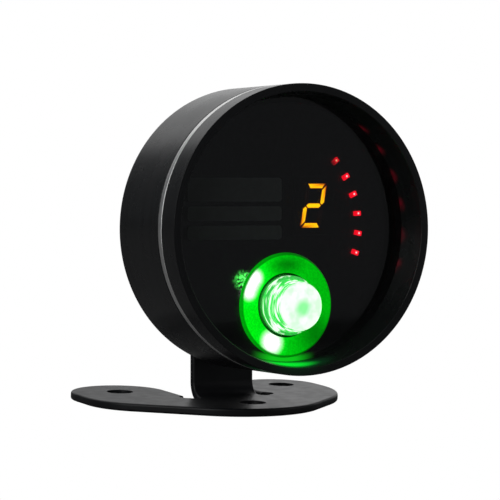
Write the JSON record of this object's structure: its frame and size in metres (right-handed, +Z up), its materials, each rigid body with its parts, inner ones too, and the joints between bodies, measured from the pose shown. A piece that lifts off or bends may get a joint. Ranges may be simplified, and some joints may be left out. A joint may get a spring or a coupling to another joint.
{
  "type": "round timing gauge",
  "caption": "Dash-mounted round timing gauge in a turned cup, with a smoked face, lit digit, LED arc and large capped lamp, clamped to a bent bracket.",
  "frame": {"origin": "on the bracket's underside, on the axis of the front screw hole", "axes": "+Z up from the mounting surface, +X to the right as seen from the front, -Y towards the viewer of the face"},
  "size_m": [0.0609, 0.0562, 0.0701],
  "materials": {
    "black_anodised": "satin black anodised, fine turned lines",
    "black_coat": "satin black powder coat",
    "bare_aluminium": "fine turned, bare",
    "polished_aluminium": "polished",
    "smoked_acrylic": "gloss, smoked",
    "clear_plastic": "clear, lit green from inside",
    "green_emitter": "lit green",
    "amber_segment": "lit amber",
    "unlit_segment": "unlit diffuser",
    "red_led": "lit red",
    "display_plastic": "matt dark grey",
    "board_laminate": "black solder mask",
    "black_rubber": "matt",
    "black_plastic": "matt moulded",
    "white_plastic": "matt moulded",
    "fibre": "matt vulcanised fibre",
    "tin_plate": "tinned",
    "zinc_steel": "bright zinc plate",
    "black_steel": "black zinc plate"
  },
  "bodies": {
    "bracket": {"mounting_bracket": "black_coat"},
    "head": {"housing_shell": "black_anodised", "front_bezel": "black_anodised", "trim_ring": "bare_aluminium", "retaining_ring": "black_anodised", "smoked_lens": "smoked_acrylic", "lens_gasket": "black_rubber", "display_board": "board_laminate", "arc_led_1": "red_led", "arc_led_2": "red_led", "arc_led_3": "red_led", "arc_led_4": "red_led", "arc_led_5": "red_led", "arc_led_6": "red_led", "digit_body": "display_plastic", "digit_segments_lit": "amber_segment", "digit_segments_unlit": "unlit_segment", "digit_pins": "tin_plate", "lamp_reflector": "polished_aluminium", "lamp_lens": "clear_plastic", "lamp_emitter": "green_emitter", "lamp_board": "board_laminate", "lamp_spacer": "black_plastic", "lamp_nut": "black_anodised", "main_board": "board_laminate", "board_spacers": "zinc_steel", "board_screws": "zinc_steel", "microcontroller": "black_plastic", "voltage_regulator": "black_plastic", "capacitors": "bare_aluminium", "crystal": "tin_plate", "lamp_driver": "black_plastic", "lead_header": "white_plastic", "tactile_switch": "black_plastic", "lead_grommet": "black_rubber", "clamp_boss": "black_anodised", "friction_pad": "fibre", "clamp_bolt": "black_steel", "flat_washer": "black_steel", "spring_washer": "black_steel", "clamp_nut": "black_steel"},
    "button": {"setup_button": "black_plastic", "switch_plunger": "black_plastic"}
  },
  "joints": [
    {"name": "head_turn", "type": "hinge", "parent": "bracket", "child": "head", "pos_m": [0, 0.01544, 0.03812], "axis": [0, 0.9984, -0.0567], "range_deg": [-180, 180]},
    {"name": "setup_press", "type": "slide", "parent": "head", "child": "button", "axis": [0, -0.9984, 0.0567], "range_m": [0, 0.0005], "stiffness_N_per_m": 2000, "springref_m": -0.0004}
  ]
}
